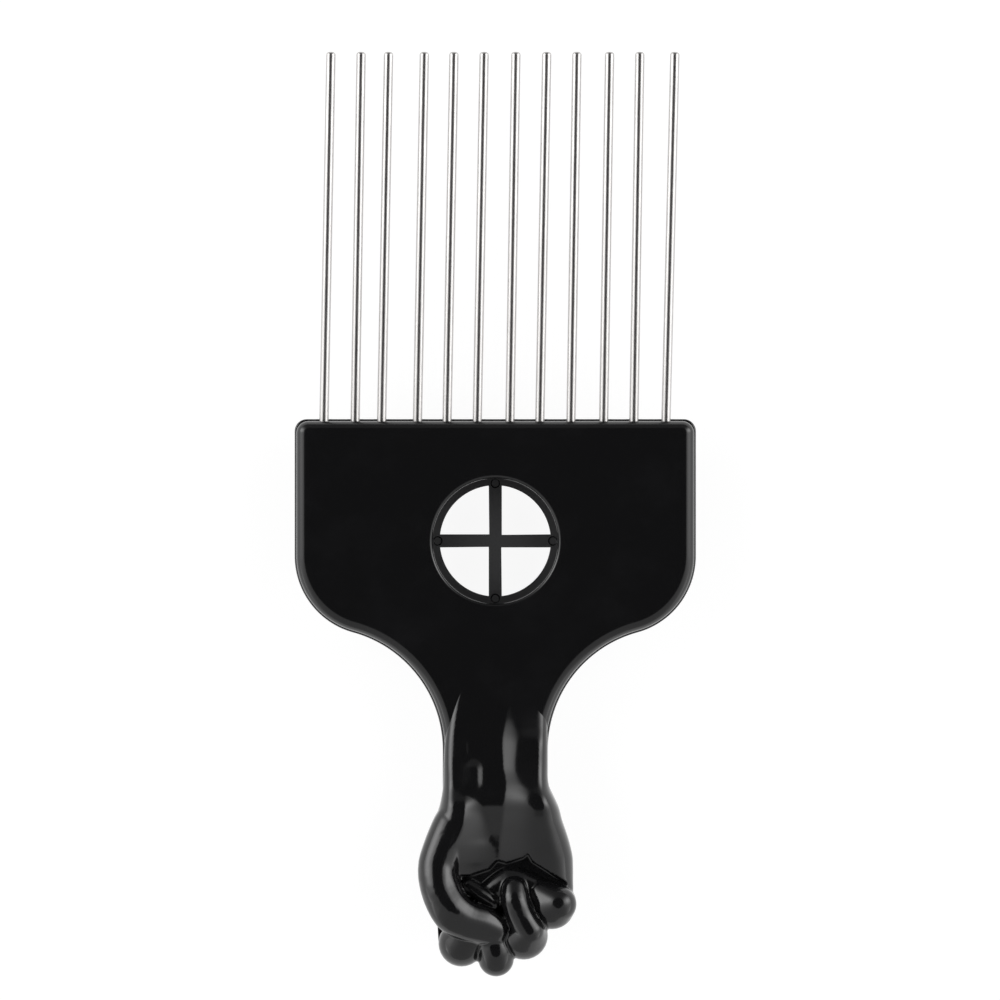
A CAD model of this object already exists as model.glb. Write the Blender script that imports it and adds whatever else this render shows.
"""The looks of an afro pick: a glossy black moulded handle with a clenched fist, and twelve steel tines.

Lengths are millimetres until a point is placed. Shapes are drawn from the middle of the round window, with
+X to the right, +Y towards the tips and +Z out of the palm side, measured from the parting plane.
"""

import logging
import math
from dataclasses import dataclass, field
from enum import Enum
from typing import Callable, Sequence

import bmesh
import bpy
from mathutils import Matrix, Vector


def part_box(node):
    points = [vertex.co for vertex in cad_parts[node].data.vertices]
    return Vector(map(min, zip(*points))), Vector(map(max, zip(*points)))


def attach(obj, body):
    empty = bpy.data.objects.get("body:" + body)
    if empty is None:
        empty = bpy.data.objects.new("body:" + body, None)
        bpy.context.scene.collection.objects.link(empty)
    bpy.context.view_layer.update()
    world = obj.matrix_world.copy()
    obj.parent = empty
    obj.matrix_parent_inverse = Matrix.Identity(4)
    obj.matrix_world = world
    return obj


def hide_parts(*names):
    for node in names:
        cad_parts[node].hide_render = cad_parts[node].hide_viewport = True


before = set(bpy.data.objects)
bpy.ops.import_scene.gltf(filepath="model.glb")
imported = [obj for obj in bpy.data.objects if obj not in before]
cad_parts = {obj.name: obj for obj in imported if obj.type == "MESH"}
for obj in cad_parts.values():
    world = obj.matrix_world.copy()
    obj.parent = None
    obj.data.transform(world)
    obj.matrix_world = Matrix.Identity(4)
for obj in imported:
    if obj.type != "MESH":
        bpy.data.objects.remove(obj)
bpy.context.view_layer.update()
LOG = logging.getLogger("afro_pick")

Piece = bpy.types.Object
Finish = bpy.types.Material

MM = 0.001
# Places in metres that lie nearer together than this count as one
CLOSE = MM / 100
# How far a cutter reaches past what it cuts, in millimetres
OVERRUN = 1.0
QUARTER = math.radians(90)
# Sockets of a Map Range node, in the order in which the script lists their values
RANGE = ("From Min", "From Max", "To Min", "To Max")

# Height of the plate's top edge over the window's middle, and from it the window's place in the frame
PLATE_TOP = 22.8
WINDOW_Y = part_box("front_shell")[1].y / MM - PLATE_TOP
PARTING_Z = (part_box("tine_01")[0].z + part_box("tine_01")[1].z) / (2 * MM)


class Side(Enum):
    """The two halves of the moulding."""

    FRONT = 1
    REAR = -1


def place(x: float, y: float, z: float) -> Vector:
    """Turns a point from the window's middle and the parting plane into the row frame, in metres."""
    return Vector((x, y + WINDOW_Y, z + PARTING_Z)) * MM


def clamp(value: float) -> float:
    """Limits a share to 0 to 1."""
    return min(1.0, max(0.0, value))


def smooth(value: float) -> float:
    """Smooth step from 0 to 1."""
    share = clamp(value)
    return share * share * (3 - 2 * share)


def deselect() -> None:
    """Leaves edit mode and deselects every object."""
    if bpy.context.object and bpy.context.object.mode != "OBJECT":
        bpy.ops.object.mode_set(mode="OBJECT")
    bpy.ops.object.select_all(action="DESELECT")


def pick(*pieces: Piece) -> None:
    """Selects only some objects and makes the first of them active."""
    deselect()
    for piece in pieces:
        piece.select_set(True)
    bpy.context.view_layer.objects.active = pieces[0]


def join(pieces: Sequence[Piece]) -> Piece:
    """Joins pieces into the first of them and returns it."""
    pick(*pieces)
    bpy.ops.object.join()
    return pieces[0]


def settle(piece: Piece) -> None:
    """Moves a piece's place into its mesh, so that the object sits unturned at the origin."""
    pick(piece)
    bpy.ops.object.transform_apply(location=True, rotation=True, scale=True)


def modify(piece: Piece, kind: str, **settings: object) -> None:
    """Adds a modifier with its settings and applies it.

    Args:
        piece: The object to change.
        kind: The modifier's type, such as BOOLEAN.
        settings: Values of the modifier's own settings.
    """
    pick(piece)
    modifier = piece.modifiers.new(kind.title(), kind)
    for name, value in settings.items():
        setattr(modifier, name, value)
    bpy.ops.object.modifier_apply(modifier=modifier.name)


def carve(piece: Piece, cutter: Piece, keep_cutter: bool = False) -> None:
    """Cuts one closed mesh out of another.

    Args:
        piece: The object to cut.
        cutter: The object whose room is cut away.
        keep_cutter: Whether the cutter is kept for another cut.
    """
    modify(piece, "BOOLEAN", operation="DIFFERENCE", object=cutter, solver="EXACT")
    if not keep_cutter:
        bpy.data.objects.remove(cutter)


def edit_all(piece: Piece) -> None:
    """Opens a piece in edit mode with its whole mesh selected."""
    pick(piece)
    bpy.ops.object.mode_set(mode="EDIT")
    bpy.ops.mesh.select_all(action="SELECT")


def extrude(way: Sequence[float]) -> None:
    """Extrudes what is selected in edit mode along a way in metres."""
    bpy.ops.mesh.extrude_region_move(TRANSFORM_OT_translate={"value": way})


def trace(points: Sequence[Vector]) -> Piece:
    """Draws a flat face along an outline and leaves it open in edit mode.

    Args:
        points: The corners of the outline, in metres.

    Returns:
        The new object, with its face selected.
    """
    deselect()
    bpy.ops.mesh.primitive_plane_add(size=MM)
    piece = bpy.context.object
    bpy.ops.object.mode_set(mode="EDIT")
    bpy.ops.mesh.select_mode(type="VERT")
    bpy.ops.mesh.select_all(action="SELECT")
    bpy.ops.mesh.merge(type="CENTER")
    bpy.ops.transform.translate(value=points[0])
    for before, after in zip(points, points[1:]):
        extrude(after - before)
    bpy.ops.mesh.select_all(action="SELECT")
    bpy.ops.mesh.edge_face_add()
    return piece


def round_edges(wanted: Callable[[Vector], bool], width: float, steps: int) -> None:
    """Rounds the edges of the mesh in edit mode whose two ends pass a test.

    Args:
        wanted: The test, for a place in metres.
        width: Width of the rounding in millimetres.
        steps: Number of faces across it.
    """
    mesh = bmesh.from_edit_mesh(bpy.context.edit_object.data)
    bpy.ops.mesh.select_all(action="DESELECT")
    bpy.ops.mesh.select_mode(type="EDGE")
    for edge in mesh.edges:
        if all(wanted(vertex.co) for vertex in edge.verts):
            edge.select_set(True)
    bmesh.update_edit_mesh(bpy.context.edit_object.data)
    bpy.ops.mesh.bevel(offset=width * MM, segments=steps, profile=0.5, affect="EDGES")


def face_out(piece: Piece) -> None:
    """Points the faces of a closed mesh outwards."""
    edit_all(piece)
    bpy.ops.mesh.normals_make_consistent(inside=False)
    bpy.ops.object.mode_set(mode="OBJECT")


def coat(piece: Piece, degrees: float, *finishes: Finish) -> None:
    """Gives a piece its finishes and shades it smooth.

    Args:
        piece: The object to coat.
        degrees: Edges that turn by more than this stay sharp.
        finishes: The materials. The first one is on every face.
    """
    piece.data.materials.clear()
    for finish in finishes:
        piece.data.materials.append(finish)
    pick(piece)
    bpy.ops.object.shade_smooth_by_angle(angle=math.radians(degrees))


# Finishes


def linear(code: str) -> tuple[float, float, float, float]:
    """Turns an sRGB hex colour such as 1a1a1c into a linear colour."""
    shares = [int(code[i : i + 2], 16) / 255 for i in (0, 2, 4)]
    return (*[c / 12.92 if c <= 0.04045 else ((c + 0.055) / 1.055) ** 2.4 for c in shares], 1.0)


def add_node(
    tree: bpy.types.NodeTree,
    kind: str,
    inputs: dict[str | int, object] | None = None,
    links: dict[str | int, bpy.types.NodeSocket] | None = None,
    **settings: object,
) -> bpy.types.bpy_prop_collection:
    """Adds a shader node with its settings, the values of its sockets and its links.

    Args:
        tree: The material's node tree.
        kind: The node's type, without ShaderNode in front.
        inputs: Values by socket name or number.
        links: Sockets that feed the node, by the name or number of the socket they feed.
        settings: The node's own settings.

    Returns:
        The new node's output sockets.
    """
    node = tree.nodes.new("ShaderNode" + kind)
    for name, value in settings.items():
        setattr(node, name, value)
    for key, value in (inputs or {}).items():
        node.inputs[key].default_value = value
    for key, socket in (links or {}).items():
        tree.links.new(socket, node.inputs[key])
    return node.outputs


def empty_tree(owner: Finish | bpy.types.World) -> bpy.types.NodeTree:
    """Empties the node tree of a material or a world and returns it."""
    owner.use_nodes = True
    owner.node_tree.nodes.clear()
    return owner.node_tree


@dataclass(frozen=True)
class MouldedPlastic:
    """Polystyrene or ABS from a mould: black right through, with a slight waviness where it has shrunk."""

    name: str
    color: str = "131314"
    dust_color: str = "212123"
    roughness: float = 0.13
    roughness_spread: float = 0.05
    ior: float = 1.54
    # Broad waviness of a shrunk moulding: long soft waves in what the plastic mirrors
    wave_mm: float = 9.0
    wave_detail: float = 1.0
    wave_depth_mm: float = 0.004
    # Fine grain of the mould's polish, drawn as coarse as it needs to show
    grain_mm: float = 0.35
    grain_detail: float = 3.0
    grain_depth_mm: float = 0.0012
    # Faint wear: cloudy patches that are a little duller and, where they are thickest, dusty
    cloud_mm: float = 14.0
    cloud_detail: float = 5.0
    cloud_roughness: float = 0.65
    wear_range: tuple[float, float] = (0.35, 0.7)
    dust_range: tuple[float, float] = (0.5, 0.8)
    dust_share: float = 0.35

    def make(self) -> Finish:
        """Builds the material."""
        material = bpy.data.materials.new(self.name)
        tree = empty_tree(material)
        spot = {"Vector": add_node(tree, "TexCoord")["Object"]}
        wave = {"Scale": 1 / (self.wave_mm * MM), "Detail": self.wave_detail}
        grit = {"Scale": 1 / (self.grain_mm * MM), "Detail": self.grain_detail}
        cloud = {"Scale": 1 / (self.cloud_mm * MM), "Detail": self.cloud_detail}
        cloud["Roughness"] = self.cloud_roughness
        waves, grain, clouds = (add_node(tree, "TexNoise", look, spot)["Fac"] for look in (wave, grit, cloud))
        dullness = (*self.wear_range, self.roughness, self.roughness + self.roughness_spread)
        rough = add_node(tree, "MapRange", dict(zip(RANGE, dullness)), {"Value": clouds})
        thickness = (*self.dust_range, 0.0, self.dust_share)
        dust = add_node(tree, "MapRange", dict(zip(RANGE, thickness)), {"Value": clouds})
        colors = {"A": linear(self.color), "B": linear(self.dust_color)}
        tint = add_node(tree, "Mix", colors, {"Factor": dust["Result"]}, data_type="RGBA")
        wave_depth = {"Strength": 1.0, "Distance": self.wave_depth_mm * MM}
        broad = add_node(tree, "Bump", wave_depth, {"Height": waves})
        grain_depth = {"Strength": 1.0, "Distance": self.grain_depth_mm * MM}
        fine = add_node(tree, "Bump", grain_depth, {"Height": grain, "Normal": broad["Normal"]})
        looks = {"Base Color": tint["Result"], "Roughness": rough["Result"], "Normal": fine["Normal"]}
        surface = add_node(tree, "BsdfPrincipled", {"IOR": self.ior}, looks)
        add_node(tree, "OutputMaterial", None, {"Surface": surface["BSDF"]})
        return material


@dataclass(frozen=True)
class PlatedWire:
    """Drawn steel wire with a bright nickel plating: faint lines along the wire from the die."""

    name: str
    color: str = "d6d4d3"
    line_color: str = "b5b3b1"
    roughness: float = 0.27
    roughness_spread: float = 0.1
    # Lines from the die: they run along the wire, and are drawn as wide as they need to show
    line_mm: float = 0.12
    line_length_mm: float = 14.0
    line_depth_mm: float = 0.002
    line_detail: float = 2.0
    line_range: tuple[float, float] = (0.3, 0.75)

    def make(self) -> Finish:
        """Builds the material."""
        material = bpy.data.materials.new(self.name)
        tree = empty_tree(material)
        spot = {"Vector": add_node(tree, "TexCoord")["Object"]}
        across, along = 1 / (self.line_mm * MM), 1 / (self.line_length_mm * MM)
        stretched = {"Vector": add_node(tree, "Mapping", {"Scale": (across, along, across)}, spot)["Vector"]}
        lines = add_node(tree, "TexNoise", {"Scale": 1.0, "Detail": self.line_detail}, stretched)
        colors = {"A": linear(self.color), "B": linear(self.line_color)}
        tint = add_node(tree, "Mix", colors, {"Factor": lines["Fac"]}, data_type="RGBA")
        dullness = (*self.line_range, self.roughness, self.roughness + self.roughness_spread)
        rough = add_node(tree, "MapRange", dict(zip(RANGE, dullness)), {"Value": lines["Fac"]})
        line_depth = {"Strength": 1.0, "Distance": self.line_depth_mm * MM}
        bump = add_node(tree, "Bump", line_depth, {"Height": lines["Fac"]})
        looks = {"Base Color": tint["Result"], "Roughness": rough["Result"], "Normal": bump["Normal"]}
        surface = add_node(tree, "BsdfPrincipled", {"Metallic": 1.0}, looks)
        add_node(tree, "OutputMaterial", None, {"Surface": surface["BSDF"]})
        return material


@dataclass
class Finishes:
    """The three finishes of the pick."""

    gloss: MouldedPlastic = MouldedPlastic("glossy_moulded_plastic")
    # The ring and the cross come from a part of the mould that was left rough, so they are matt
    matt: MouldedPlastic = MouldedPlastic(
        "matt_moulded_plastic",
        color="363637",
        dust_color="454547",
        roughness=0.5,
        grain_mm=0.25,
        grain_depth_mm=0.012,
    )
    wire: PlatedWire = PlatedWire("plated_steel_wire")

    def make(self) -> dict[str, Finish]:
        """Builds the materials and returns them by name."""
        return {"gloss": self.gloss.make(), "matt": self.matt.make(), "wire": self.wire.make()}


# The moulded plate


@dataclass
class Outline:
    """Outline of the plate and the neck: two small corners, two rounded shoulders and two hollow sides."""

    width: float = 75.6
    top: float = PLATE_TOP
    corner_r: float = 2.3
    shoulder_r: float = 14.7
    neck_w: float = 19.2
    neck_drop: float = 39.8
    neck_r: float = 23.6
    bottom_drop: float = 56.0
    arc_steps: int = 40
    corner_steps: int = 10

    def side(self, grown: float) -> list[tuple[float, float]]:
        """Draws the right side from the top corner down to the neck.

        Args:
            grown: How far the outline is set off outwards.

        Returns:
            The points of the side.
        """
        half = self.width / 2
        hollow_x = self.neck_w / 2 + self.neck_r
        shoulder_x = half - self.shoulder_r
        reach = self.shoulder_r + self.neck_r
        shoulder_y = -self.neck_drop + math.sqrt(reach**2 - (hollow_x - shoulder_x) ** 2)
        turn = math.atan2(shoulder_y + self.neck_drop, hollow_x - shoulder_x)
        corner_x, corner_y = half + grown - self.corner_r, self.top + grown - self.corner_r
        outer, inner = self.shoulder_r + grown, self.neck_r - grown
        points = [
            (corner_x + self.corner_r * math.sin(a), corner_y + self.corner_r * math.cos(a))
            for a in [QUARTER * i / self.corner_steps for i in range(self.corner_steps + 1)]
        ]
        points += [
            (shoulder_x + outer * math.cos(a), shoulder_y - outer * math.sin(a))
            for a in [turn * i / self.arc_steps for i in range(self.arc_steps + 1)]
        ]
        points += [
            (hollow_x - inner * math.cos(a), -self.neck_drop + inner * math.sin(a))
            for a in [turn * (1 - i / self.arc_steps) for i in range(1, self.arc_steps + 1)]
        ]
        points.append((self.neck_w / 2 + grown, -self.bottom_drop))
        return points

    def loop(self, grown: float) -> list[tuple[float, float]]:
        """Points of the whole outline, clockwise from the top right corner."""
        right = self.side(grown)
        return right + [(-x, y) for x, y in reversed(right)]


@dataclass
class Window:
    """The round window in the front half and the recessed ring with its cross in the rear half."""

    radius: float = 11.9
    edge_r: float = 0.7
    edge_steps: int = 6
    ring_r: float = 10.6
    arm_w: float = 2.3
    recess: float = 2.2
    rear_radius: float = 12.1
    # Marks of the ejector pins at the ends of the cross, with walls that slope in and out by mark_slope
    mark_r: float = 0.92
    mark_x: float = 10.98
    mark_depth: float = 0.2
    mark_slope: float = 0.24
    mark_sides: int = 32
    # The marks' sloping walls are polished: the heights that their normals may have
    polished: tuple[float, float] = (0.3, 0.9)
    sides: int = 160


@dataclass
class Tines:
    """The twelve steel tines, and their holes in the plate's top edge."""

    count: int = 12
    radius: float = 0.9
    out: float = 70.3
    end_r: float = 0.62
    end_steps: int = 8
    bend_r: float = 1.6
    bend_steps: int = 12
    hook: float = 1.2
    sides: int = 28
    smooth_deg: float = 40.0
    inset: float = 5.2
    hole_r: float = 0.95
    mouth_r: float = 1.45
    mouth_depth: float = 0.6
    hole_sides: int = 32
    # How deep the straight part goes into the plate
    depth: float = 4.5
    # Lean to the right in degrees. Each tine's own lean is a share of it, and its shift a share of the pitch
    lean: float = 1.0
    lean_shares: tuple[float, ...] = (1.08, 0.93, 1.08, 1.08, 1.08, 1.08, 0.93, 1.08, 0.93, 0.93, 0.93, 1.39)
    shift_shares: tuple[float, ...] = (0, 0, -0.15, 0, -0.05, -0.08, -0.03, -0.07, -0.07, -0.02, -0.05, -0.02)

    def base_x(self, index: int, width: float) -> float:
        """Place across the plate where a tine leaves it."""
        pitch = (width - 2 * self.inset) / (self.count - 1)
        return (index - (self.count - 1) / 2 + self.shift_shares[index]) * pitch

    def pose(self, index: int, outline: Outline) -> Matrix:
        """Works out a tine's own frame.

        Args:
            index: The tine's number, from 0 on the left.
            outline: The outline of the plate that holds it.

        Returns:
            The frame: its origin is where the tine leaves the plate, and its +Y runs along the tine.
        """
        lean = math.radians(self.lean * self.lean_shares[index])
        base = place(self.base_x(index, outline.width), outline.top, 0)
        return Matrix.Translation(base) @ Matrix.Rotation(-lean, 4, "Z")

    def model(self, finish: Finish) -> Piece:
        """Models a tine in its own frame: the hooked root, and the long straight part with a rounded end."""
        bend = Vector((self.bend_r, -self.depth, 0)) * MM
        deselect()
        bpy.ops.mesh.primitive_circle_add(
            vertices=self.sides,
            radius=self.radius * MM,
            fill_type="NGON",
            location=bend + Vector((self.hook, -self.bend_r, 0)) * MM,
            rotation=(0, QUARTER, 0),
        )
        piece = bpy.context.object
        settle(piece)
        edit_all(piece)
        extrude((-self.hook * MM, 0, 0))
        bpy.ops.mesh.spin(steps=self.bend_steps, angle=QUARTER, center=bend, axis=(0, 0, 1))
        extrude((0, (self.depth + self.out) * MM, 0))
        end = self.out * MM - CLOSE
        round_edges(lambda point: point.y > end, self.end_r, self.end_steps)
        face_out(piece)
        coat(piece, self.smooth_deg, finish)
        return piece

    def build(self, outline: Outline, finish: Finish) -> list[Piece]:
        """Models one tine and copies it to its twelve places in the plate, from left to right."""
        model = self.model(finish)
        pieces = []
        for index in range(self.count):
            piece = model.copy()
            piece.data = model.data.copy()
            piece.name = f"steel_tine_{index + 1:02d}"
            bpy.context.scene.collection.objects.link(piece)
            piece.matrix_world = self.pose(index, outline)
            settle(piece)
            pieces.append(piece)
        bpy.data.objects.remove(model)
        return pieces


@dataclass
class Plate:
    """The flat part of the handle, as a front and a rear half."""

    finishes: dict[str, Finish]
    outline: Outline = field(default_factory=Outline)
    window: Window = field(default_factory=Window)
    tines: Tines = field(default_factory=Tines)
    half_t: float = 4.0
    edge_w: float = 2.1
    edge_steps: int = 10
    # How far the rear half stands out past the front half, and the rounding of each half at the seam
    rear_lip: float = 0.4
    seam_w: dict[Side, float] = field(default_factory=lambda: {Side.FRONT: 0.12, Side.REAR: 0.38})
    seam_steps: int = 4
    smooth_deg: float = 35.0

    def build(self) -> list[Piece]:
        """Models and dresses the front half and the rear half."""
        front = self.slab("plate_front", Side.FRONT)
        rear = self.slab("plate_rear", Side.REAR)
        self.cut_front_window(front)
        self.cut_rear_window(rear)
        self.cut_tine_holes(front, rear)
        self.dress(front)
        self.dress(rear)
        return [front, rear]

    def slab(self, name: str, side: Side) -> Piece:
        """Extrudes the outline to one half's thickness and rounds it at the face and at the seam.

        Args:
            name: The new object's name.
            side: The half to make.

        Returns:
            The half, without its window and holes.
        """
        grown = 0.0 if side is Side.FRONT else self.rear_lip
        piece = trace([place(x, y, 0.0) for x, y in self.outline.loop(grown)])
        piece.name = name
        extrude((0, 0, side.value * self.half_t * MM))
        face_z = (PARTING_Z + side.value * self.half_t) * MM
        seam_z = PARTING_Z * MM
        round_edges(lambda point: abs(point.z - face_z) < CLOSE, self.edge_w, self.edge_steps)
        round_edges(lambda point: abs(point.z - seam_z) < CLOSE, self.seam_w[side], self.seam_steps)
        face_out(piece)
        return piece

    def cylinder(self, radius: float, low: float, high: float) -> Piece:
        """Adds an upright cylinder on the window's axis.

        Args:
            radius: Its radius in millimetres.
            low: Height of its bottom over the parting plane.
            high: Height of its top over the parting plane.

        Returns:
            The new object.
        """
        deselect()
        bpy.ops.mesh.primitive_cylinder_add(
            vertices=self.window.sides,
            radius=radius * MM,
            depth=(high - low) * MM,
            location=place(0, 0, (low + high) / 2),
        )
        piece = bpy.context.object
        settle(piece)
        return piece

    def cut_front_window(self, front: Piece) -> None:
        """Cuts the round window through the front half and rounds its front edge."""
        window = self.window
        carve(front, self.cylinder(window.radius, -OVERRUN, self.half_t + OVERRUN))
        middle = place(0, 0, self.half_t)
        pick(front)
        bpy.ops.object.mode_set(mode="EDIT")

        def on_rim(point: Vector) -> bool:
            """Tells whether a point lies on the window's front edge."""
            away = math.hypot(point.x - middle.x, point.y - middle.y)
            return abs(point.z - middle.z) < CLOSE and abs(away - window.radius * MM) < CLOSE

        round_edges(on_rim, window.edge_r, window.edge_steps)
        bpy.ops.object.mode_set(mode="OBJECT")

    def cut_rear_window(self, rear: Piece) -> None:
        """Cuts the pocket behind the window, the openings round the cross and the pin marks."""
        window = self.window
        carve(rear, self.cylinder(window.rear_radius, -window.recess, OVERRUN))
        for turn in range(4):
            carve(rear, self.quadrant(turn))
        marks = []
        for turn in range(4):
            mark_x, mark_y = (window.mark_x * part(QUARTER * turn) for part in (math.cos, math.sin))
            deselect()
            bpy.ops.mesh.primitive_cone_add(
                vertices=window.mark_sides,
                radius1=(window.mark_r - window.mark_slope) * MM,
                radius2=(window.mark_r + window.mark_slope) * MM,
                depth=2 * window.mark_depth * MM,
                location=place(mark_x, mark_y, -window.recess),
            )
            marks.append(bpy.context.object)
            settle(marks[-1])
        carve(rear, join(marks))

    def quadrant(self, turn: int) -> Piece:
        """Makes the cutter of one of the openings: a quarter of a disc, set off by half an arm's width.

        Args:
            turn: Quarter turns to the left from the upper right opening.

        Returns:
            The cutter.
        """
        window = self.window
        cutter = self.cylinder(window.ring_r, -self.half_t - OVERRUN, 0)
        half_arm = window.arm_w / 2 * MM
        bpy.ops.object.mode_set(mode="EDIT")
        for angle in (QUARTER * turn, QUARTER * (turn + 1)):
            normal = Vector((math.cos(angle), math.sin(angle), 0))
            bpy.ops.mesh.select_all(action="SELECT")
            bpy.ops.mesh.bisect(
                plane_co=place(0, 0, 0) + normal * half_arm, plane_no=normal, use_fill=True, clear_inner=True
            )
        bpy.ops.object.mode_set(mode="OBJECT")
        return cutter

    def cut_tine_holes(self, front: Piece, rear: Piece) -> None:
        """Cuts the tines' holes and their tapered mouths into the top edge of both halves."""
        cutter = join([self.tine_cutter(index) for index in range(self.tines.count)])
        carve(front, cutter, keep_cutter=True)
        carve(rear, cutter)

    def tine_cutter(self, index: int) -> Piece:
        """Makes the cutter of one hole: a cone at the mouth, with both of its ends drawn out along the tine.

        Args:
            index: The tine's number, from 0 on the left.

        Returns:
            The cutter.
        """
        tines = self.tines
        deselect()
        bpy.ops.mesh.primitive_cone_add(
            vertices=tines.hole_sides,
            radius1=tines.hole_r * MM,
            radius2=tines.mouth_r * MM,
            depth=tines.mouth_depth * MM,
        )
        cutter = bpy.context.object
        half = tines.mouth_depth / 2 * MM
        bpy.ops.object.mode_set(mode="EDIT")
        bpy.ops.mesh.select_mode(type="FACE")
        for sign, length in ((-1, tines.depth), (1, OVERRUN)):
            bpy.ops.mesh.select_all(action="DESELECT")
            mesh = bmesh.from_edit_mesh(cutter.data)
            for face in mesh.faces:
                face.select_set(all(abs(vertex.co.z - sign * half) < CLOSE for vertex in face.verts))
            bmesh.update_edit_mesh(cutter.data)
            extrude((0, 0, sign * length * MM))
        bpy.ops.object.mode_set(mode="OBJECT")
        upright = Matrix.Rotation(-QUARTER, 4, "X")
        cutter.matrix_world = tines.pose(index, self.outline) @ Matrix.Translation((0, -half, 0)) @ upright
        settle(cutter)
        return cutter

    def dress(self, piece: Piece) -> None:
        """Gives a half its glossy finish, with the matt one on the ring and the cross."""
        coat(piece, self.smooth_deg, self.finishes["gloss"], self.finishes["matt"])
        window = self.window
        reach = window.rear_radius * MM + CLOSE
        ring_top = (PARTING_Z - window.recess) * MM + CLOSE
        lowest, highest = window.polished
        for face in piece.data.polygons:
            inside = math.hypot(face.center.x, face.center.y - WINDOW_Y * MM) < reach
            if inside and face.center.z < ring_top and not lowest < face.normal.z < highest:
                face.material_index = 1


# The forearm and the fist


@dataclass(frozen=True)
class Curve:
    """A smooth curve through points that are listed from the tips' side to the fist's side."""

    points: tuple[tuple[float, float], ...]

    def at(self, y: float) -> float:
        """Reads the curve at a place along the pick.

        Args:
            y: The place. Past an end of the curve, the end's own value holds.

        Returns:
            The value there.
        """
        points = self.points
        last = len(points) - 2
        i = next((k for k in range(last) if y >= points[k + 1][0]), last)
        before, near, far, after = (points[max(0, min(last + 1, i + k))] for k in (-1, 0, 1, 2))
        step = near[0] - far[0]
        share = clamp((near[0] - y) / step)
        slope_in = (far[1] - before[1]) / (before[0] - far[0]) * step
        slope_out = (after[1] - near[1]) / (near[0] - after[0]) * step
        blend = smooth(share)
        bow = share * (1 - share)
        return near[1] * (1 - blend) + far[1] * blend + bow * ((1 - share) * slope_in - share * slope_out)


@dataclass(frozen=True)
class Ball:
    """A round part of a finger: the place of its middle, its radius and its top's height over the seam."""

    x: float
    y: float
    radius: float
    top: float


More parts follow.
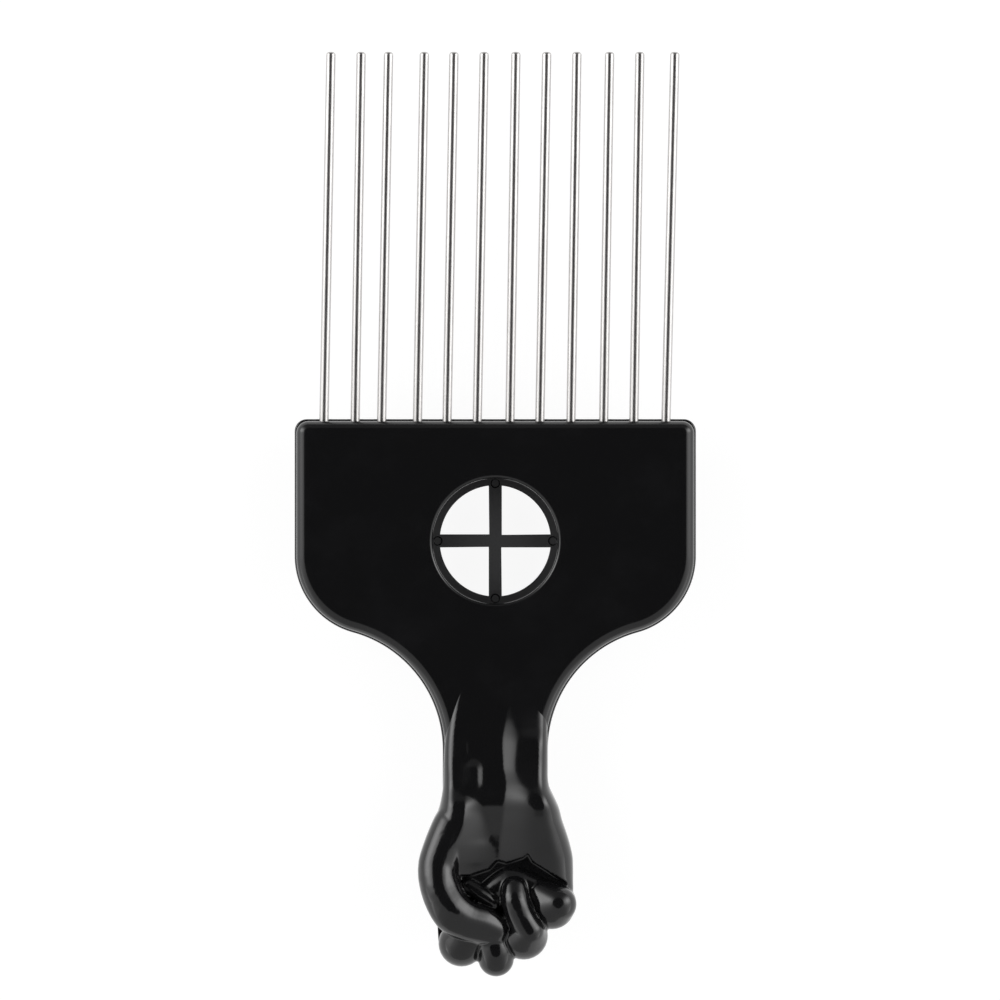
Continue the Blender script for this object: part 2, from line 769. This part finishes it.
@dataclass(frozen=True)
class Arm:
    """The forearm and the palm, as curves along the pick."""

    # The two sides, and the height of the middle
    left: Curve = Curve((
        (-21, -6.4), (-26, -7.5), (-29, -8.1), (-32, -8.7), (-35, -9.2), (-38.2, -9.6), (-42, -9.8),
        (-46.2, -9.9), (-48.5, -10.2), (-50.7, -10.7), (-53, -11.6), (-55.3, -12.6), (-57.6, -13.5),
        (-59.9, -14.3), (-62.1, -14.6), (-64.4, -14.4), (-66.7, -13.7), (-69, -12.6), (-71.3, -11.2),
        (-74, -8.5), (-77, -4.5),
    ))
    right: Curve = Curve((
        (-21, 8.0), (-26, 9.0), (-29, 9.4), (-32, 9.7), (-35, 9.85), (-38.2, 9.95), (-42, 9.95),
        (-45, 10.0), (-46.8, 10.3), (-48.5, 11.1), (-50.7, 12.1), (-53, 12.7), (-55.3, 13.5),
        (-57.6, 14.2), (-59.9, 14.7), (-62.1, 14.8), (-64.4, 14.8), (-66.7, 14.8), (-69, 14.3),
        (-71.3, 13.0), (-74, 9.0), (-77, 4.5),
    ))
    base: Curve = Curve((
        (-21, 3.0), (-26, 3.9), (-29, 4.1), (-32, 4.35), (-35, 4.75), (-38, 5.3), (-41, 5.95),
        (-44, 6.65), (-46, 7.05), (-48, 7.35), (-49.7, 7.35), (-51.5, 6.95), (-53.5, 6.5), (-55.5, 6.05),
        (-57.5, 5.7), (-60, 5.3), (-64, 4.6), (-70, 4.0), (-77, 3.0),
    ))
    # The ridge in line with the little finger: its height over the middle, and where its flank ends
    ridge_rise: Curve = Curve((
        (-21, 0), (-26, 0), (-30, 0.3), (-33.6, 0.75), (-38.6, 1.25), (-43, 1.1), (-46, 1.4), (-49, 2.2),
        (-52, 2.5), (-56, 2.4), (-62, 2.0), (-66, 1.4), (-77, 0),
    ))
    ridge_start: Curve = Curve((
        (-21, 2.4), (-30, 2.4), (-33.6, 1.7), (-38, 1.2), (-43, 1.4), (-46, 1.8), (-49, 1.6), (-60, 0.6),
        (-77, 0.6),
    ))
    ridge_end: Curve = Curve((
        (-21, 3.4), (-30, 3.4), (-33.6, 4.4), (-38.6, 5.2), (-43, 4.9), (-46, 6.8), (-48.5, 7.6),
        (-52, 7.8), (-62, 8.2), (-77, 8.2),
    ))
    # The ball of the thumb: its crest's height over the middle and place across, and the width of the
    # flank from there down into the palm
    thenar_rise: Curve = Curve((
        (-21, 0), (-44.5, 0), (-46.5, 0.15), (-48, 0.6), (-50, 1.5), (-52, 2.3), (-54, 2.9), (-56, 3.4),
        (-58, 4.0), (-61, 4.7), (-64, 4.6), (-67, 3.5), (-72, 0), (-77, 0),
    ))
    thenar_crest: Curve = Curve((
        (-21, -5.8), (-50, -5.8), (-53, -6.0), (-55.5, -6.8), (-58, -8.4), (-60.5, -10.4), (-63, -12),
        (-77, -12),
    ))
    thenar_flank: Curve = Curve(
        ((-21, 3.4), (-46, 3.4), (-50, 3.7), (-53, 4.7), (-56, 6.6), (-58, 9), (-61, 11), (-77, 11))
    )
    # Depth of the back of the hand under the seam
    back: Curve = Curve((
        (-21, 3.2), (-26, 3.95), (-30, 4.6), (-34, 5.4), (-38, 6.0), (-42, 6.4), (-46, 6.7), (-50, 7.1),
        (-54, 7.6), (-58, 8.0), (-62, 8.3), (-66, 8.3), (-70, 7.8), (-74, 6.6), (-77, 5.0),
    ))
    # How far the rounding of the sides reaches in, and the share of the height that is left at the seam
    round_w: Curve = Curve(
        ((-21, 2.0), (-40, 2.2), (-46, 2.3), (-48.5, 2.7), (-52, 3.6), (-57, 4.3), (-77, 4.6))
    )
    wall_share: Curve = Curve(((-21, 0.5), (-40, 0.55), (-47, 0.5), (-53, 0.36), (-60, 0.3), (-77, 0.3)))
    # How far the forearm's right side lies lower where it comes out of the plate, and where across it sets in
    sink: Curve = Curve(((-21, 0.8), (-28, 0.8), (-32, 0.9), (-35, 0.5), (-38.6, 0), (-77, 0)))
    sink_x: float = -4.0
    sink_w: float = 12.0
    # Tendons under the skin of the wrist: x and y of the crest, slow side, steep side, half length, height
    tendons: tuple[tuple[float, ...], ...] = (
        (-3.9, -44.4, 3.6, 2.1, 3.9, 0.56),
        (-5.7, -39.3, 2.4, 0.8, 2.6, 0.22),
    )
    # How much longer than a plain swell a tendon keeps its height
    tendon_hold: float = 1.4
    # How steep a flank is at its crease, where a straight one has 1, and how late it eases out
    crease_slope: float = 1.25
    crease_power: int = 4

    def section(self, y: float) -> dict[str, float]:
        """Reads all the arm's curves at a place along the pick, by their names."""
        return {name: curve.at(y) for name, curve in vars(self).items() if isinstance(curve, Curve)}

    def height(self, x: float, y: float, cut: dict[str, float], side: Side) -> float:
        """Height of the arm's flat part over the parting plane, before its sides are rounded.

        Args:
            x: Place across the pick.
            y: Place along the pick.
            cut: The section of the arm at y.
            side: The half of the hand.

        Returns:
            The height in millimetres.
        """
        if side is Side.REAR:
            return cut["back"]
        ridge = self.flank((x - cut["ridge_start"]) / (cut["ridge_end"] - cut["ridge_start"]))
        fall = self.flank((x - cut["thenar_crest"]) / cut["thenar_flank"])
        height = cut["base"] + ridge * max(0.0, cut["ridge_rise"]) + (1 - fall) * max(0.0, cut["thenar_rise"])
        height -= max(0.0, cut["sink"]) * smooth((x - self.sink_x) / self.sink_w)
        for crest_x, middle_y, slow_w, steep_w, half_l, rise in self.tendons:
            across = (x - crest_x) / (steep_w if x > crest_x else slow_w)
            along = self.tendon_hold * (1 - abs(y - middle_y) / half_l)
            height += rise * smooth(1 - abs(across)) * smooth(along)
        return height

    def flank(self, share: float) -> float:
        """Rises from 0 to 1 like a flank that starts at a crease and eases out into the flat."""
        inside = clamp(share)
        return inside * (self.crease_slope - (self.crease_slope - 1) * inside**self.crease_power)


@dataclass(frozen=True)
class Block:
    """A rounded form: a skin stretched over one or more rails of balls, station by station."""

    rails: tuple[tuple[Ball, ...], ...]
    steps: int = 3

    def stations(self) -> list[list[Ball]]:
        """Sets stations along smooth curves through the rails' balls, with one ball for each rail."""
        count = len(self.rails[0])
        if count == 1:
            return [[rail[0] for rail in self.rails]] * 2
        found = []
        for i in range((count - 1) * self.steps + 1):
            at = i / self.steps
            k = min(count - 2, int(at))
            found.append([self.between(rail, k, at - k) for rail in self.rails])
        return found

    @staticmethod
    def between(rail: tuple[Ball, ...], k: int, share: float) -> Ball:
        """Works out a ball between two balls of a rail, with the weights of a Catmull-Rom curve.

        Args:
            rail: The rail.
            k: Number of the ball before the new one.
            share: How far the new one is on the way to the next, from 0 to 1.

        Returns:
            The new ball.
        """
        near = [rail[max(0, min(len(rail) - 1, k + j))] for j in (-1, 0, 1, 2)]
        weights = (
            -0.5 * share + share**2 - 0.5 * share**3,
            1 - 2.5 * share**2 + 1.5 * share**3,
            0.5 * share + 2 * share**2 - 1.5 * share**3,
            -0.5 * share**2 + 0.5 * share**3,
        )
        names = ("x", "y", "radius", "top")
        return Ball(*(sum(w * getattr(ball, name) for w, ball in zip(weights, near)) for name in names))


@dataclass
class Hand:
    """The forearm and the clenched fist: an arm with rounded blocks for the fingers grown onto it."""

    finishes: dict[str, Finish]
    arm: Arm = Arm()
    front_blocks: tuple[Block, ...] = (
        # Thumb: its bone in the hand, and from the knuckle on its crest, a facet beside it and its lower edge
        Block(((
            Ball(-7.3, -52.2, 3.4, 8.5), Ball(-8.1, -54.0, 3.8, 9.3), Ball(-9.7, -58.0, 3.9, 9.8),
            Ball(-10.8, -61.2, 3.8, 10.2), Ball(-10.9, -63.6, 3.7, 10.8),
        ),)),
        Block(((
            Ball(-10.9, -63.6, 3.7, 10.8), Ball(-10.4, -66.3, 3.4, 11.5), Ball(-8.4, -69.2, 3.0, 11.7),
            Ball(-5.6, -71.2, 2.6, 10.9), Ball(-2.5, -72.1, 2.5, 9.9), Ball(0.1, -73.4, 2.4, 8.9),
        ), (
            Ball(-10.8, -63.6, 3.6, 10.7), Ball(-9.6, -66.0, 3.1, 11.0), Ball(-7.8, -68.4, 2.6, 11.2),
            Ball(-5.0, -70.3, 2.2, 10.4), Ball(-2.0, -71.2, 2.1, 9.4), Ball(0.6, -72.5, 2.0, 8.4),
        ), (
            Ball(-10.9, -63.6, 3.7, 10.8), Ball(-10.2, -66.8, 3.6, 11.3), Ball(-8.7, -70.8, 3.0, 11.0),
            Ball(-5.8, -72.6, 2.9, 10.1), Ball(-2.8, -73.5, 2.8, 9.2), Ball(-0.4, -74.3, 2.6, 8.3),
        ))),
        # Fingertips in the palm
        Block(((Ball(-5.2, -65.2, 1.3, 6.4), Ball(-2.9, -66.8, 1.5, 7.0), Ball(-0.2, -68.6, 1.5, 6.6)),)),
        Block(((
            Ball(-1.6, -67.4, 3.0, 5.8), Ball(1.2, -65.4, 3.1, 6.2), Ball(3.6, -64.4, 3.1, 6.3),
            Ball(7.2, -65.8, 3.0, 6.2),
        ),)),
        # Index, middle, ring and little finger
        Block(((Ball(-5.2, -74.4, 4.2, 8.0), Ball(-6.4, -76.4, 4.4, 7.2)),)),
        Block(((Ball(-0.4, -76.0, 3.4, 7.6), Ball(0.1, -78.0, 3.4, 7.7), Ball(0.15, -79.2, 3.4, 7.1)),)),
        Block(((
            Ball(3.6, -65.9, 2.4, 9.2), Ball(3.8, -68.2, 2.7, 10.2), Ball(5.0, -71.2, 2.7, 10.0),
            Ball(6.5, -73.7, 2.8, 9.9),
        ),)),
        Block(((Ball(6.5, -73.7, 2.8, 9.9), Ball(5.4, -74.8, 4.6, 8.5)),)),
        Block((
            (Ball(8.9, -67.1, 3.0, 7.5),), (Ball(11.9, -68.7, 3.5, 9.4),), (Ball(10.7, -69.2, 4.4, 8.8),),
        )),
    )
    rear_blocks: tuple[Block, ...] = (
        Block(((Ball(-7.2, -70.4, 3.9, 9.0), Ball(-6.9, -73.0, 4.1, 9.0), Ball(-6.4, -76.4, 4.4, 7.6)),)),
        Block(((Ball(-1.6, -71.4, 3.9, 9.5), Ball(-1.2, -74.2, 3.7, 9.4), Ball(0.15, -79.2, 3.4, 7.4)),)),
        Block(((Ball(4.2, -70.6, 3.9, 9.3), Ball(4.6, -72.4, 4.2, 9.3), Ball(5.4, -74.8, 4.6, 7.8)),)),
        Block(((Ball(9.6, -67.4, 3.7, 8.6), Ball(10.1, -68.4, 4.0, 8.6), Ball(10.7, -69.2, 4.4, 7.6)),)),
        # Thumb's side
        Block(((
            Ball(-8.9, -55.6, 3.3, 7.0), Ball(-10.4, -59.6, 3.3, 7.0), Ball(-11.9, -63.6, 2.5, 6.0),
            Ball(-11.3, -66.6, 2.4, 5.4), Ball(-9.8, -69.4, 2.4, 5.2),
        ),)),
    )
    # Pit under the palm's lower edge: its outline, its floor and how far its cutter reaches up from there
    pit: tuple[tuple[float, float], ...] = (
        (-6.6, -63.2), (-4.6, -63.2), (-1.2, -62.1), (0.3, -60.4), (2.1, -60.9), (5.2, -59.9), (6.2, -59.0),
        (7.1, -60.6), (9.8, -62.3), (13.4, -64.6), (16.0, -66.5), (16.0, -80.0), (-6.6, -80.0),
    )
    pit_floor: float = 4.4
    pit_h: float = 12.0
    # How far all forms reach past the parting plane until they are cut there
    under: float = 1.5
    arm_segments: int = 192
    arm_rings: int = 150
    # The arm's rings run up its sides while the sine of their angle is below this, then over the top
    side_sine: float = 0.12
    ball_segments: int = 28
    ball_rings: int = 18
    # The grid that grows the forms together, and how its steps are smoothed away
    voxel: float = 0.22
    smoothing: int = 5
    smoothing_share: float = 0.5
    smooth_deg: float = 50.0

    def build(self) -> list[Piece]:
        """Models both halves of the hand and returns them."""
        return [self.half("hand_front", Side.FRONT), self.half("hand_rear", Side.REAR)]

    def half(self, name: str, side: Side) -> Piece:
        """Models one half: the arm, the pit and the blocks, grown together and cut at the parting plane."""
        arm = self.loft(side)
        if side is Side.FRONT:
            carve(arm, self.pit_cutter())
        blocks = self.front_blocks if side is Side.FRONT else self.rear_blocks
        piece = join([arm] + [self.skin(block, side) for block in blocks])
        piece.name = name
        modify(piece, "REMESH", mode="VOXEL", voxel_size=self.voxel * MM, adaptivity=0.0)
        modify(piece, "SMOOTH", factor=self.smoothing_share, iterations=self.smoothing)
        edit_all(piece)
        bpy.ops.mesh.bisect(
            plane_co=place(0, 0, 0), plane_no=(0, 0, side.value), use_fill=True, clear_inner=True
        )
        face_out(piece)
        coat(piece, self.smooth_deg, self.finishes["gloss"])
        return piece

    def loft(self, side: Side) -> Piece:
        """Shapes a sphere into the arm: each ring of it becomes a section across the pick."""
        arm = self.arm
        deselect()
        bpy.ops.mesh.primitive_uv_sphere_add(
            segments=self.arm_segments, ring_count=self.arm_rings, radius=1.0
        )
        piece = bpy.context.object
        first, last = arm.left.points[0][0], arm.left.points[-1][0]
        sections: dict[float, dict[str, float]] = {}
        for vertex in piece.data.vertices:
            ring = math.hypot(vertex.co.x, vertex.co.y)
            along = math.atan2(ring, vertex.co.z) / math.pi
            y = round(first + (last - first) * along, 3)
            if y not in sections:
                sections[y] = arm.section(y)
            cut = sections[y]
            cosine, sine = (vertex.co.x / ring, vertex.co.y / ring) if ring > CLOSE else (0.0, 0.0)
            left, right = cut["left"], cut["right"]
            climb = clamp(abs(sine) / self.side_sine)
            across = max(-1.0, min(1.0, cosine / math.sqrt(1 - self.side_sine**2)))
            x = (left + right) / 2 + (right - left) / 2 * across
            inset = clamp(min(x - left, right - x) / cut["round_w"])
            wall = cut["wall_share"]
            rounded = wall + (1 - wall) * math.sqrt(max(0.0, 1 - (1 - inset) ** 2))
            if sine * side.value > 0:
                z = side.value * arm.height(x, y, cut, side) * rounded * climb
            else:
                z = -side.value * self.under * climb
            vertex.co = place(x, y, z)
        face_out(piece)
        return piece

    def skin(self, block: Block, side: Side) -> Piece:
        """Stretches a skin over the balls of each two neighbouring stations, down past the parting plane.

        Args:
            block: The form to model.
            side: The half of the hand that it is on.

        Returns:
            The form, as overlapping closed skins.
        """
        deselect()
        bpy.ops.mesh.primitive_plane_add(size=MM)
        piece = bpy.context.object
        bpy.ops.object.mode_set(mode="EDIT")
        bpy.ops.mesh.select_mode(type="VERT")
        bpy.ops.mesh.delete(type="VERT")
        stations = block.stations()
        for first, second in zip(stations, stations[1:]):
            for ball in first + second:
                bpy.ops.mesh.primitive_uv_sphere_add(
                    segments=self.ball_segments,
                    ring_count=self.ball_rings,
                    radius=ball.radius * MM,
                    location=place(ball.x, ball.y, side.value * (ball.top - ball.radius)),
                )
                bpy.ops.mesh.primitive_circle_add(
                    vertices=self.ball_segments,
                    radius=ball.radius * MM,
                    location=place(ball.x, ball.y, -side.value * self.under),
                )
            bpy.ops.mesh.select_all(action="SELECT")
            bpy.ops.mesh.convex_hull()
            bpy.ops.mesh.hide()
        bpy.ops.mesh.reveal()
        bpy.ops.object.mode_set(mode="OBJECT")
        return piece

    def pit_cutter(self) -> Piece:
        """Extrudes the outline of the pit upwards from its floor."""
        cutter = trace([place(x, y, self.pit_floor) for x, y in self.pit])
        extrude((0, 0, self.pit_h * MM))
        face_out(cutter)
        return cutter


# The stage


@dataclass(frozen=True)
class Glow:
    """A soft light in the studio, by its direction, its width and height in degrees and its brightness."""

    azimuth: float
    zenith: float
    width: float
    height: float
    brightness: float


@dataclass
class Studio:
    """White floor, soft boxes beside the pick, a dark ceiling over it and the camera straight above."""

    glows: tuple[Glow, ...] = (
        Glow(155, 67, 17, 25, 4.2),
        Glow(178, 67, 27, 25, 0.6),
        Glow(23, 67, 16, 25, 4.2),
        Glow(2, 67, 25, 25, 0.6),
    )
    # Brightness of the walls behind the fist and behind the tips, and from where to where it changes
    fist_side: float = 0.5
    tips_side: float = 0.15
    side_range: tuple[float, float] = (0.25, -0.2)
    ceiling: float = 0.02
    # A light's size along its own axis, endless so that only the turn away from that axis dims it
    endless: float = 1e6
    # The dark part overhead, in degrees: its lean to the tips, how far it reaches and how wide its edge is
    dark_lean: float = 11.0
    dark_reach: float = 32.0
    dark_fade: float = 5.0
    # The floor in metres, and the share of it that glows plain white. The rest is paper that shows the shadow
    floor_size: float = 6.0
    floor_z: float = -0.0002
    floor_glow: float = 0.8
    floor_strength: float = 1.14
    paper: str = "f4f4f4"
    # The camera: its picture's width at the pick, the point it looks at and its distance from there in metres
    frame_mm: float = 190.0
    middle: tuple[float, float, float] = (0.9, 7.8, 2.0)
    distance: float = 1.1
    sensor_mm: float = 36.0
    clip_end: float = 20.0

    def build(self) -> None:
        """Builds the stage, the lights and the camera."""
        self.floor()
        self.world()
        self.camera()
        bpy.context.scene.view_settings.view_transform = "Standard"

    def floor(self) -> None:
        """Adds the floor: white, with the pick's soft shadow."""
        deselect()
        bpy.ops.mesh.primitive_plane_add(size=self.floor_size, location=(0, 0, self.floor_z))
        floor = bpy.context.object
        floor.name = "floor"
        material = bpy.data.materials.new("white_floor")
        tree = empty_tree(material)
        path = add_node(tree, "LightPath")
        paper = add_node(tree, "BsdfDiffuse", {"Color": linear(self.paper)})
        glow = add_node(tree, "Emission", {"Strength": self.floor_strength})
        # Gloss and metal mirror the same white that the camera sees
        seen = path["Is Camera Ray"]
        for ray in ("Is Glossy Ray", "Is Transmission Ray"):
            both = {0: seen, 1: path[ray]}
            seen = add_node(tree, "Math", None, both, operation="MAXIMUM")[0]
        seen = add_node(tree, "Math", {1: self.floor_glow}, {0: seen}, operation="MULTIPLY")
        mix = add_node(tree, "MixShader", None, {0: seen[0], 1: paper["BSDF"], 2: glow["Emission"]})
        add_node(tree, "OutputMaterial", None, {"Surface": mix["Shader"]})
        floor.data.materials.append(material)

    def world(self) -> None:
        """Lights the studio: soft boxes with bright middles, light walls and a dark ceiling."""
        world = bpy.data.worlds.new("studio")
        bpy.context.scene.world = world
        tree = empty_tree(world)
        toward = add_node(tree, "TexCoord")["Generated"]
        walls = dict(zip(RANGE, (*self.side_range, self.tips_side, self.fist_side)))
        spot = {"Value": add_node(tree, "SeparateXYZ", None, {0: toward})["Y"]}
        total = add_node(tree, "MapRange", walls, spot, interpolation_type="SMOOTHSTEP")["Result"]
        for glow in self.glows:
            # The direction in the light's own axes, in shares of its size: it falls off as a bell curve
            width, height = (math.sin(math.radians(size)) for size in (glow.width, glow.height))
            turn = (0.0, math.radians(glow.zenith), math.radians(glow.azimuth))
            axes = {"Rotation": turn, "Scale": (height, width, self.endless)}
            own = add_node(tree, "Mapping", axes, {"Vector": toward}, vector_type="TEXTURE")["Vector"]
            both = {0: own, 1: own}
            square = add_node(tree, "VectorMath", None, both, operation="DOT_PRODUCT")["Value"]
            bell = add_node(tree, "Math", {0: 1 / math.e}, {1: square}, operation="POWER")[0]
            both = {0: bell, 2: total}
            total = add_node(tree, "Math", {1: glow.brightness}, both, operation="MULTIPLY_ADD")[0]
        # No light comes from straight above, where the camera stands, nor from a little towards the tips
        lean, inner, outer = (
            math.radians(angle)
            for angle in (self.dark_lean, self.dark_reach, self.dark_reach + self.dark_fade)
        )
        overhead = {1: (0.0, math.sin(lean), math.cos(lean))}
        depth = add_node(tree, "VectorMath", overhead, {0: toward}, operation="DOT_PRODUCT")["Value"]
        edge = dict(zip(RANGE, (math.cos(inner), math.cos(outer), 0.0, 1.0)))
        aside = add_node(tree, "MapRange", edge, {"Value": depth}, interpolation_type="SMOOTHSTEP")
        both = {0: aside["Result"], 1: total}
        total = add_node(tree, "Math", {2: self.ceiling}, both, operation="MULTIPLY_ADD")[0]
        light = add_node(tree, "Background", {"Color": linear("ffffff")}, {"Strength": total})
        add_node(tree, "OutputWorld", None, {"Surface": light["Background"]})

    def camera(self) -> None:
        """Stands the camera straight above the pick, looking down, with the tips up in the picture."""
        data = bpy.data.cameras.new("camera")
        data.sensor_width = self.sensor_mm
        data.lens = self.sensor_mm * self.distance / (self.frame_mm * MM)
        data.clip_end = self.clip_end
        camera = bpy.data.objects.new("camera", data)
        bpy.context.scene.collection.objects.link(camera)
        camera.location = place(*self.middle) + Vector((0, 0, self.distance))
        bpy.context.scene.camera = camera


def main() -> None:
    """Builds the pick's looks in order and reports each piece."""
    logging.basicConfig(level=logging.INFO, format="%(message)s")
    LOG.info("CAD nodes in the frame: %d", len(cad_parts))
    finishes = Finishes().make()
    Studio().build()
    plate = Plate(finishes)
    for piece in plate.build() + Hand(finishes).build():
        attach(piece, "root")
        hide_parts("front_shell" if piece.name.endswith("front") else "rear_shell")
        LOG.info("%s: %d faces", piece.name, len(piece.data.polygons))
    for number, piece in enumerate(plate.tines.build(plate.outline, finishes["wire"]), start=1):
        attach(piece, "root")
        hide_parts(f"tine_{number:02d}")
        LOG.info("%s: %d faces", piece.name, len(piece.data.polygons))


if __name__ == "__main__":
    main()
